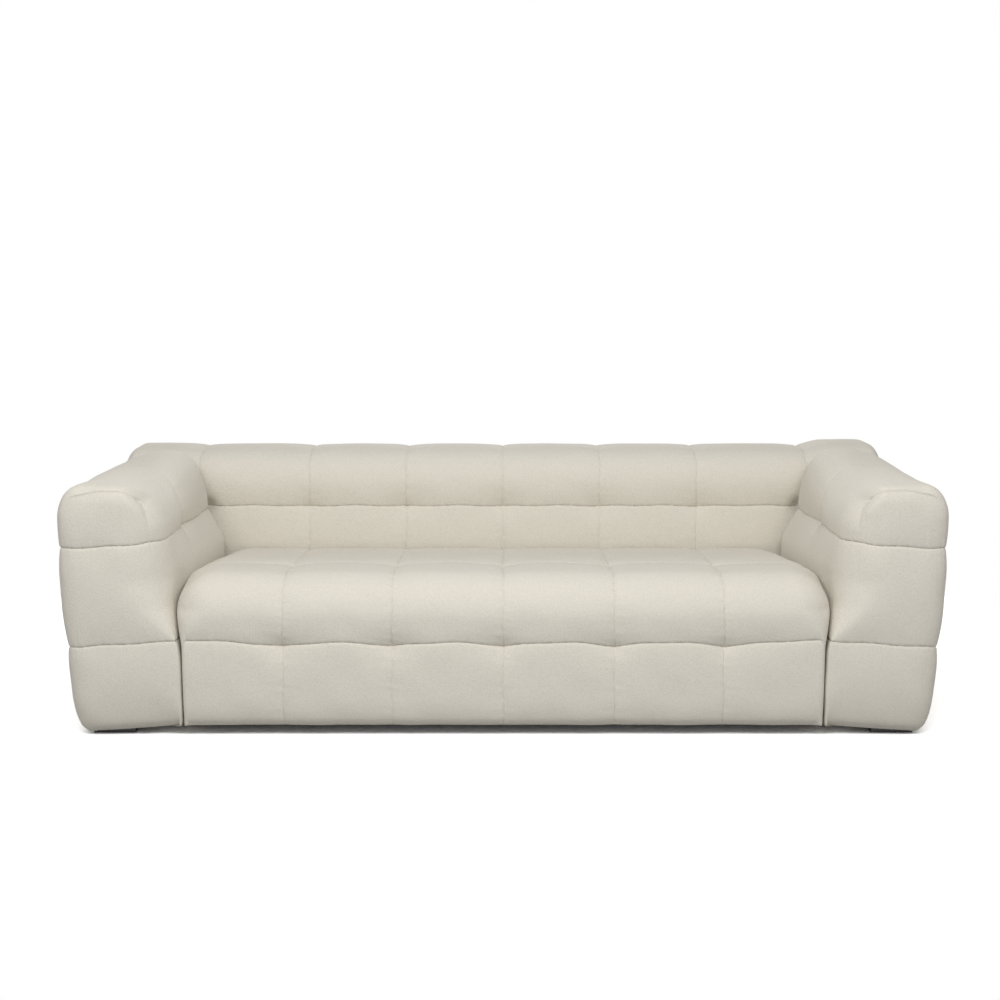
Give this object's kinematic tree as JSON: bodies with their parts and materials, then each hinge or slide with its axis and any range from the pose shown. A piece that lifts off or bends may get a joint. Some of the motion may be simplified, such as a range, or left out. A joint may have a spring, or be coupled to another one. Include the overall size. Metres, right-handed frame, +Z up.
{
  "type": "sofa",
  "caption": "Low wide sofa with thick padded arms nearly as high as its back, grid-tufted in pale boucle, with a fixed one-piece seat on small hidden black feet.",
  "frame": {"origin": "on the floor under the middle of the sofa: half way between the arms' outer sides, and half way from the arms' fronts to the back's rear", "axes": "+X to the right as seen from the front, +Y to the rear, +Z up; the seat faces -Y"},
  "size_m": [2.5, 1.05, 0.7399],
  "materials": {
    "boucle": "matte",
    "foam": "matte",
    "felt": "matte",
    "webbing": "matte",
    "dust_cloth": "matte",
    "foot_plastic": "matte",
    "spring_steel": "satin",
    "zinc_steel": "satin",
    "pine": "matte",
    "plywood": "matte",
    "hardboard": "satin"
  },
  "bodies": {
    "root": {"seat_cover": "boucle", "seat_comfort_foam": "foam", "seat_core_foam": "foam", "seat_felt": "felt", "seat_springs": "spring_steel", "spring_clips": "zinc_steel", "spring_tie_wires": "spring_steel", "seat_front_rail": "pine", "seat_rear_rail": "pine", "seat_left_rail": "pine", "seat_right_rail": "pine", "seat_stretchers": "pine", "seat_corner_blocks": "pine", "seat_front_pad": "foam", "seat_dust_cover": "dust_cloth", "back_cover": "boucle", "back_front_foam": "foam", "back_rear_foam": "foam", "back_top_foam": "foam", "back_end_pads": "foam", "back_base_board": "plywood", "back_top_rail": "pine", "back_lumbar_rail": "pine", "back_lower_rail": "pine", "back_ribs": "plywood", "back_rear_panel": "hardboard", "back_webbing_across": "webbing", "back_webbing_upright": "webbing", "back_dust_cover": "dust_cloth", "left_arm_cover": "boucle", "left_arm_foam": "foam", "left_arm_outer_panel": "plywood", "left_arm_inner_panel": "plywood", "left_arm_top_board": "plywood", "left_arm_base_board": "plywood", "left_arm_spreaders": "plywood", "left_arm_dust_cover": "dust_cloth", "right_arm_cover": "boucle", "right_arm_foam": "foam", "right_arm_outer_panel": "plywood", "right_arm_inner_panel": "plywood", "right_arm_top_board": "plywood", "right_arm_base_board": "plywood", "right_arm_spreaders": "plywood", "right_arm_dust_cover": "dust_cloth", "front_left_foot": "foot_plastic", "front_right_foot": "foot_plastic", "rear_left_foot": "foot_plastic", "rear_right_foot": "foot_plastic", "rear_centre_foot": "foot_plastic", "seat_left_foot": "foot_plastic", "seat_right_foot": "foot_plastic", "foot_screws": "zinc_steel", "module_bolts": "zinc_steel", "tee_nuts": "zinc_steel"}
  },
  "joints": []
}
